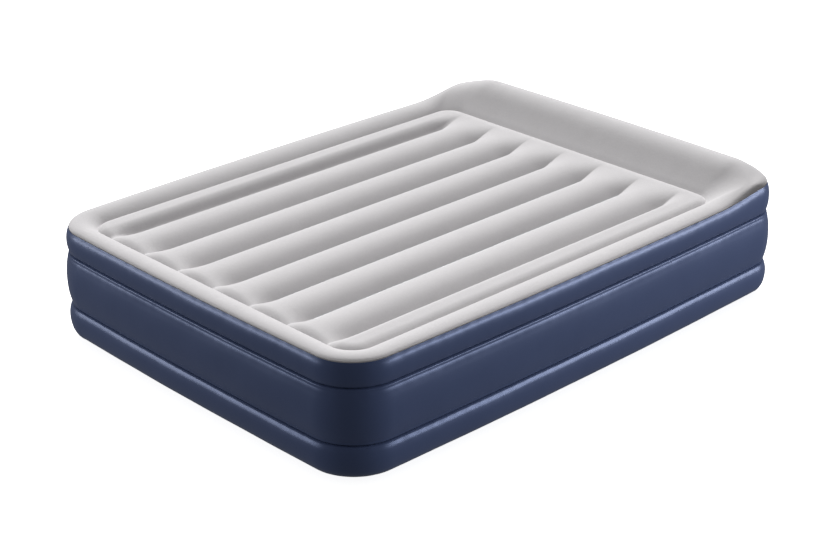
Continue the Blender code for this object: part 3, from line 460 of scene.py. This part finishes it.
# --- Side bands ----------------------------------------------------------------------------------
# Navy film in three strips round the bed, each taut between two weld lines so that it bulges. The
# middle one is held flat round the pump's window in the head wall.

satin = Finish("side_film", Roughness=0.36, Base_Color=(0.045, 0.062, 0.150))
satin.shader.inputs["Specular IOR Level"].default_value = 0.55
satin.shader.inputs["Specular Tint"].default_value = (0.50, 0.62, 1.0, 1.0)
grain = satin.noise(420.0, 2.0, 0.5)
ripple = satin.noise(9.0, 3.0, 0.5)
satin_colour = satin.mix(ripple, (0.038, 0.054, 0.116, 1.0), (0.046, 0.064, 0.134, 1.0))
satin_relief = satin.bump(ripple, 0.004, 0.12, satin.bump(grain, 0.0003, 0.25))
side_film = satin.feed(Base_Color=satin_colour, Roughness=0.32 + 0.08 * grain, Normal=satin_relief)

turn_steps = 28
band_x = list(np.linspace(-1.0, 1.0, 170)[1:-1])
band_y = list(np.linspace(-1.0, 1.0, 250)[1:-1])
outline, outward = rounded_loop(core_x, -core_y, core_y, (foot_radius, head_radius), band_x, band_y)
outline = bowed(outline)
walk = np.concatenate([[0.0], np.cumsum(np.linalg.norm(np.diff(outline, axis=0), axis=1))])
plate_low, plate_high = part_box("face_plate")
pump_x = (plate_low[0] + plate_high[0]) / 2
pump_z = (plate_low[2] + plate_high[2]) / 2
flat_y, flat_half, flat_fade = plate_low[1] - 0.0003, 0.135, 0.070


def band(name, profile, steps, replaced, flat_by_pump=False, lifted=False):
    """A strip of film round the bed through (height, inset) points from low to high."""
    heights = [height for height, _ in profile]
    levels = crowded(heights[-1], heights[0], steps)
    near = 1.0 - ease(np.abs(outline[:, 0] - pump_x), flat_half, flat_half + flat_fade)
    near = np.where((outward[:, 1] > 0.99) & flat_by_pump, near, 0.0)
    points, quads = [], []
    count = len(outline)
    for k, level in enumerate(levels):
        inset = np.full(count, float(through(profile, level)))
        from_weld = min(level - heights[0], heights[-1] - level)
        settle = min(max(from_weld / 0.03, 0.0), 1.0)
        wave = np.sin(walk * 9.1 + level * 14.0) + 0.6 * np.sin(walk * 23.7 - level * 31.0 + 1.7)
        inset += 0.0005 * settle * wave
        pucker = np.sin(walk * 131.0) + 0.7 * np.sin(walk * 83.0 + 1.3) * np.sin(walk * 5.1)
        inset += 0.0002 * pucker * ease(from_weld, 0.0, 0.005) * (1.0 - ease(from_weld, 0.010, 0.034))
        at = outline - outward * inset[:, None]
        at[:, 1] -= near * np.maximum(at[:, 1] - flat_y, 0.0)
        share = (level - heights[0]) / (heights[-1] - heights[0])
        points.append(np.column_stack([at, level + head_lift(at[:, 1]) * share * lifted]))
        if k:
            upper = np.arange((k - 1) * count, k * count)
            lower = upper + count
            quads.append(np.stack([upper, lower, np.roll(lower, -1), np.roll(upper, -1)], axis=-1))
    piece = walled(shell(name, np.concatenate(points), np.concatenate(quads), side_film))
    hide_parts(replaced)
    film_walls.objects.link(piece)
    return piece


upper_tube = band(
    "upper_tube",
    ((0.3090, 0.0250), (0.3105, 0.0195), (0.3180, 0.0135), (0.3320, 0.0095), (0.3500, 0.0085),
     (0.3660, 0.0100), (0.3800, 0.0140), (seam_z, 0.0207)),
    22, "upper_side_band", lifted=True,
)
middle_wall = band(
    "middle_wall",
    ((0.1250, 0.0250), (0.1265, 0.0185), (0.1360, 0.0120), (0.1560, 0.0060), (0.1850, 0.0015),
     (0.2170, 0.0000), (0.2490, 0.0015), (0.2780, 0.0060), (0.2980, 0.0120), (0.3075, 0.0190),
     (0.3090, 0.0250)),
    34, "middle_side_band", flat_by_pump=True,
)
lower_tube = band(
    "lower_tube",
    ((0.0, 0.0850), (0.0015, 0.0660), (0.0075, 0.0460), (0.0155, 0.0300), (0.0235, 0.0180), (0.0370, 0.0085),
     (0.0560, 0.0030), (0.0770, 0.0010), (0.0990, 0.0030), (0.1150, 0.0090), (0.1235, 0.0185), (0.1250, 0.0250)),
    26, "lower_side_band",
)

# The film is cut away where the pump's tub closes the wall.
pump_mid = Vector((pump_x, plate_high[1], pump_z))
window_half = (0.1070, 0.0610)
film_wall = middle_wall.modifiers.new("window", "BOOLEAN")
bm = bmesh.new()
bmesh.ops.create_cube(bm, size=1.0)
cut_size = Matrix.Diagonal((2 * window_half[0], 0.060, 2 * window_half[1], 1.0))
bmesh.ops.transform(bm, matrix=Matrix.Translation(pump_mid) @ cut_size, verts=bm.verts)
window_mesh = bpy.data.meshes.new("window")
bm.to_mesh(window_mesh)
bm.free()
window = bpy.data.objects.new("window", window_mesh)
scene.collection.objects.link(window)
film_wall.operation = "DIFFERENCE"
film_wall.solver = "EXACT"
film_wall.object = window
cut_mesh = bpy.data.meshes.new_from_object(middle_wall.evaluated_get(bpy.context.evaluated_depsgraph_get()))
middle_wall.modifiers.clear()
middle_wall.data = cut_mesh
bpy.data.objects.remove(window, do_unlink=True)


# --- Base and inner film -------------------------------------------------------------------------
# The flat base is the navy film of the sides. Inside, milky PVC strips welded from skin to skin
# hold the channels, the pillow and the two side creases.

def dress(material, nodes, bevel=0.0):
    """Give CAD nodes their finish and, where one shows, the small round of a moulded edge."""
    for name in nodes:
        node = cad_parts[name]
        node.data.materials.clear()
        node.data.materials.append(material)
        if bevel:
            edge = node.modifiers.new("edge", "BEVEL")
            edge.width = bevel
            edge.segments = 3
            edge.limit_method = "ANGLE"
            edge.angle_limit = math.radians(35)
            edge.harden_normals = True


dress(side_film, ["base_sheet"])

milky = Finish("inner_film", Roughness=0.42, Base_Color=(0.62, 0.64, 0.66), Transmission_Weight=0.15)
crinkle = milky.noise(38.0, 4.0, 0.6)
milky_colour = milky.mix(crinkle, (0.56, 0.58, 0.61, 1.0), (0.68, 0.70, 0.72, 1.0))
inner_film = milky.feed(Base_Color=milky_colour, Normal=milky.bump(crinkle, 0.002, 0.3))
dress(inner_film, [f"channel_beam_{i}" for i in range(1, groove_count + 1)])
dress(inner_film, ["pillow_beam", "rim_tie_left", "rim_tie_right", "rim_tie_foot"])
dress(inner_film, [f"base_tie_{side}" for side in ("left", "right", "foot", "head")])


# --- Pump case -----------------------------------------------------------------------------------
# A moulded grey ABS face over a rubber gasket, drawn up by four cross-head screws to the tub
# behind the wall. The tub's outside, the dial's sleeve and the cord door are the same plastic.

def moulded(name, dark, light, roughness, grain_scale=2600.0, relief=0.00012, specular=0.45):
    """A spark-eroded ABS finish: fine even grain, cloudy gloss, a faint shift in shade."""
    made = Finish(name, Roughness=roughness)
    made.shader.inputs["Specular IOR Level"].default_value = specular
    pits = made.noise(grain_scale, 2.0, 0.5)
    cloud = made.noise(24.0, 3.0, 0.55)
    shade = made.mix(cloud * 0.7 + pits * 0.3, (*dark, 1.0), (*light, 1.0))
    return made.feed(
        Base_Color=shade,
        Roughness=(roughness - 0.05) + cloud * 0.06 + pits * 0.05,
        Normal=made.bump(pits, relief, 0.6),
    )


grey_plastic = moulded("grey_plastic", (0.190, 0.198, 0.215), (0.235, 0.243, 0.262), 0.46)
dress(grey_plastic, ["face_plate"], 0.0011)
dress(grey_plastic, ["pump_housing"])
dress(grey_plastic, ["cord_bay_door", "drum_sleeve"], 0.0003)

rubber = Finish("soft_rubber", Roughness=0.72, Base_Color=(0.016, 0.016, 0.017))
rubber.shader.inputs["Specular IOR Level"].default_value = 0.35
bloom = rubber.noise(60.0, 4.0, 0.6)
rubber_colour = rubber.mix(bloom, (0.013, 0.013, 0.014, 1.0), (0.030, 0.030, 0.031, 1.0))
soft_rubber = rubber.feed(Base_Color=rubber_colour, Roughness=0.66 + bloom * 0.12)
dress(soft_rubber, ["face_gasket", "cord_gland", "valve_seal"])

plated = Finish("steel", Roughness=0.30, Metallic=1.0)
smear = plated.noise(700.0, 3.0, 0.6, (1.0, 1.0, 0.15))
steel_colour = plated.mix(smear, (0.50, 0.51, 0.52, 1.0), (0.64, 0.65, 0.66, 1.0))
steel = plated.feed(Base_Color=steel_colour, Roughness=0.24 + smear * 0.14)
hidden_screws = [f"cover_screw_{i}" for i in range(1, 5)] + ["motor_screw_1", "motor_screw_2"]
dress(steel, ["door_hinge_pin", "motor_can", "motor_shaft", "spring_clip", *hidden_screws])


def grown(tree, name, material, body, inputs):
    """A piece from a Geometry Nodes tree and its inputs' values, applied to a plain mesh."""
    piece = bpy.data.objects.new(name, bpy.data.meshes.new(name))
    scene.collection.objects.link(piece)
    grow = piece.modifiers.new("grow", "NODES")
    grow.node_group = tree
    sockets = {item.name: item.identifier for item in tree.interface.items_tree if item.in_out == "INPUT"}
    for label, value in inputs.items():
        grow[sockets[label]] = value
    mesh = bpy.data.meshes.new_from_object(piece.evaluated_get(bpy.context.evaluated_depsgraph_get()))
    piece.modifiers.clear()
    piece.data = mesh
    piece.data.name = name
    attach(piece, body)
    return piece


class Tree:
    """A Geometry Nodes tree with named inputs and one mesh output."""

    def __init__(self, name, **inputs):
        self.tree = bpy.data.node_groups.new(name, "GeometryNodeTree")
        self.tree.interface.new_socket("Mesh", in_out="OUTPUT", socket_type="NodeSocketGeometry")
        for label, kind in inputs.items():
            self.tree.interface.new_socket(label, in_out="INPUT", socket_type=f"NodeSocket{kind}")
        self.inputs = self.tree.nodes.new("NodeGroupInput")

    def given(self, label):
        return self.inputs.outputs[label]

    def node(self, kind, values, output=0, **settings):
        made = self.tree.nodes.new(kind)
        for label, value in settings.items():
            setattr(made, label, value)
        for label, value in values.items():
            for one in value if isinstance(value, list) else [value]:
                if isinstance(one, bpy.types.NodeSocket):
                    self.tree.links.new(one, made.inputs[label])
                else:
                    made.inputs[label].default_value = one
        return made.outputs[output]

    def close(self, points, one_of, material):
        """Put one_of on each point, make it real and paint it."""
        every = self.node("GeometryNodeInstanceOnPoints", {"Points": points, "Instance": one_of})
        real = self.node("GeometryNodeRealizeInstances", {"Geometry": every})
        painted = self.node("GeometryNodeSetMaterial", {"Geometry": real, "Material": material})
        out = self.tree.nodes.new("NodeGroupOutput")
        self.tree.links.new(painted, out.inputs[0])
        return self.tree


# Four M4 cross-head screws stand in counterbores at the corners of the face.
head_depth, slot_long, slot_wide, slot_deep, slot_lift = 0.0016, 0.0036, 0.0007, 0.0018, 0.0007
shank_radius, shank_length, shank_drop = 0.0015, 0.0100, 0.0060
screw = Tree("cross_head_screws", Spread="Vector", Middle="Vector", Head_Radius="Float", Shank="Float")
corner_grid = {"Size X": 1.0, "Size Y": 1.0, "Vertices X": 2, "Vertices Y": 2}
corners = screw.node("GeometryNodeMeshGrid", corner_grid)
scaled = screw.node("GeometryNodeTransform", {"Geometry": corners, "Scale": screw.given("Spread")})
head_sizes = {"Vertices": 32, "Radius": screw.given("Head_Radius"), "Depth": head_depth}
head_form = screw.node("GeometryNodeMeshCylinder", head_sizes)
bars = [
    screw.node("GeometryNodeMeshCube", {"Size": size})
    for size in ((slot_wide, slot_long, slot_deep), (slot_long, slot_wide, slot_deep))
]
raised = [
    screw.node("GeometryNodeTransform", {"Geometry": bar, "Translation": (0.0, 0.0, slot_lift)})
    for bar in bars
]
crossed = screw.node("GeometryNodeMeshBoolean", {0: head_form, 1: raised}, operation="DIFFERENCE")
shank_sizes = {"Vertices": 16, "Radius": shank_radius, "Depth": screw.given("Shank")}
shank_form = screw.node("GeometryNodeMeshCylinder", shank_sizes)
shank_low = screw.node(
    "GeometryNodeTransform", {"Geometry": shank_form, "Translation": (0.0, 0.0, -shank_drop)}
)
one_screw = screw.node("GeometryNodeJoinGeometry", {"Geometry": [crossed, shank_low]})
stood = screw.node("GeometryNodeTransform", {"Geometry": one_screw, "Rotation": (-math.pi / 2, 0.0, 0.0)})
upright = screw.node("GeometryNodeTransform", {"Geometry": scaled, "Rotation": (math.pi / 2, 0.0, 0.0)})
placed = screw.node("GeometryNodeTransform", {"Geometry": upright, "Translation": screw.given("Middle")})
screw.close(placed, stood, steel)
screw_low, screw_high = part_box("face_screw_1")
screw_middles = [np.mean(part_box(f"face_screw_{i}"), axis=0) for i in range(1, 5)]
spread = np.ptp(screw_middles, axis=0)
screw_seat = {
    "Spread": (float(spread[0]), float(spread[2]), 1.0),
    "Middle": (pump_x, screw_high[1] - head_depth / 2, pump_z),
    "Head_Radius": (screw_high[2] - screw_low[2]) / 2,
    "Shank": shank_length,
}
face_screws = grown(screw.tree, "face_screws", steel, "bed", screw_seat)
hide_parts(*[f"face_screw_{i}" for i in range(1, 5)])


# --- Inner valve's spring ------------------------------------------------------------------------
# A coil of 0.8 mm spring wire between the tub's floor and the clip on the stem. It stands on the
# floor at one length; the valve's lift is 10 mm.

coil_low, coil_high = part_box("valve_spring")
wire_radius, coil_turns, valve_travel = 0.0004, 5, 0.010
coil_length = coil_high[1] - coil_low[1] - 2 * wire_radius
spring = Tree("coil_spring", Radius="Float", Turns="Float", Length="Float", Wire="Float", Foot="Vector")
spiral_sizes = {
    "Resolution": 32,
    "Rotations": spring.given("Turns"),
    "Start Radius": spring.given("Radius"),
    "End Radius": spring.given("Radius"),
    "Height": spring.given("Length"),
}
spiral = spring.node("GeometryNodeCurveSpiral", spiral_sizes)
wire_sizes = {"Resolution": 8, "Radius": spring.given("Wire")}
wire_round = spring.node("GeometryNodeCurvePrimitiveCircle", wire_sizes)
wound_inputs = {"Curve": spiral, "Profile Curve": wire_round, "Fill Caps": True}
wound = spring.node("GeometryNodeCurveToMesh", wound_inputs)
coil_laid = spring.node("GeometryNodeTransform", {"Geometry": wound, "Rotation": (-math.pi / 2, 0.0, 0.0)})
one_point = spring.node("GeometryNodePoints", {"Count": 1, "Position": spring.given("Foot")})
spring.close(one_point, coil_laid, steel)
coil_foot = ((coil_low[0] + coil_high[0]) / 2, coil_low[1] + wire_radius, (coil_low[2] + coil_high[2]) / 2)
coil_radius = (coil_high[0] - coil_low[0]) / 2 - wire_radius
coil_sizes = {"Radius": coil_radius, "Turns": float(coil_turns), "Length": coil_length, "Wire": wire_radius}
coil_spring = grown(spring.tree, "coil_spring", steel, "bed", {**coil_sizes, "Foot": coil_foot})
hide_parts("valve_spring")
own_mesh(coil_spring)


# --- Dial, grille, switch and cord bay -----------------------------------------------------------
# The dial turns the air from in to off to out, with a knurled rim and a raised white pointer. The
# grille, rocker, switch body and bay liner are black ABS; the drum under the dial is white.

dark_plastic = moulded("dark_plastic", (0.014, 0.015, 0.017), (0.024, 0.025, 0.028), 0.40)
dress(dark_plastic, ["intake_grille", "rocker_switch"], 0.0003)
dress(dark_plastic, ["control_dial"], 0.0008)
dress(dark_plastic, ["switch_body", "cord_bay", "motor_end_cap"])
white_plastic = moulded("white_plastic", (0.660, 0.658, 0.640), (0.740, 0.738, 0.722), 0.38)
white_parts = ["diverter_drum", "volute", "volute_cover", "impeller", "valve_plate", "valve_stem"]
dress(white_plastic, white_parts)

dial_low, dial_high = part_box("control_dial")
dial_mid = ((dial_low[0] + dial_high[0]) / 2, plate_high[1], (dial_low[2] + dial_high[2]) / 2)
dial_radius = (dial_high[0] - dial_low[0]) / 2
knurl = Tree("knurl", Radius="Float", Ribs="Int", Middle="Vector", Tall="Float")
ring_sizes = {"Vertices": knurl.given("Ribs"), "Radius": knurl.given("Radius")}
ring = knurl.node("GeometryNodeMeshCircle", ring_sizes)
rib_sizes = {"Vertices": 8, "Radius": 0.0007, "Depth": knurl.given("Tall")}
rib = knurl.node("GeometryNodeMeshCylinder", rib_sizes)
rib_turned = knurl.node("GeometryNodeTransform", {"Geometry": rib, "Rotation": (math.pi / 2, 0.0, 0.0)})
ring_up = knurl.node("GeometryNodeTransform", {"Geometry": ring, "Rotation": (math.pi / 2, 0.0, 0.0)})
ring_placed = knurl.node("GeometryNodeTransform", {"Geometry": ring_up, "Translation": knurl.given("Middle")})
knurl.close(ring_placed, rib_turned, dark_plastic)
dial_ribs = grown(
    knurl.tree, "dial_ribs", dark_plastic, "dial",
    {"Radius": dial_radius - 0.0002, "Ribs": 60, "Middle": (dial_mid[0], dial_mid[1] + 0.0042, dial_mid[2]),
     "Tall": 0.0040},
)


def studs(name, material, body, places, size, round_off):
    """Small raised blocks with rounded edges at places, one mesh."""
    bm = bmesh.new()
    for place, turn in places:
        made = bmesh.ops.create_cube(bm, size=1.0)["verts"]
        spin = Matrix.Rotation(turn, 4, "Y")
        at = Matrix.Translation(place) @ spin @ Matrix.Diagonal((*size, 1.0))
        bmesh.ops.transform(bm, matrix=at, verts=made)
    bmesh.ops.bevel(bm, geom=bm.edges[:], offset=round_off, segments=2, affect="EDGES")
    mesh = bpy.data.meshes.new(name)
    bm.to_mesh(mesh)
    bm.free()
    mesh.materials.append(material)
    piece = bpy.data.objects.new(name, mesh)
    scene.collection.objects.link(piece)
    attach(piece, body)
    return piece


grip_top = dial_high[1]
pointer_place = (dial_mid[0], grip_top, dial_mid[2] + 0.0220)
pointer_size = (0.0022, 0.0008, 0.0090)
studs("dial_pointer", white_plastic, "dial", [(pointer_place, 0.0)], pointer_size, 0.0003)
mark_size, mark_out = (0.0012, 0.0006, 0.0050), dial_radius + 0.0070
mark_places = []
for turn in (-math.pi / 2, 0.0, math.pi / 2):
    mark_x, mark_z = dial_mid[0] + mark_out * math.sin(turn), dial_mid[2] + mark_out * math.cos(turn)
    mark_places.append(((mark_x, plate_high[1], mark_z), turn))
studs("dial_marks", white_plastic, "bed", mark_places, mark_size, 0.0002)
door_low, door_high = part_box("cord_bay_door")
pull_place = ((door_low[0] + door_high[0]) / 2, door_high[1] + 0.0002, door_high[2] - 0.0040)
pull_size = (0.0180, 0.0018, 0.0024)
studs("door_pull", grey_plastic, "door", [(pull_place, 0.0)], pull_size, 0.0006)
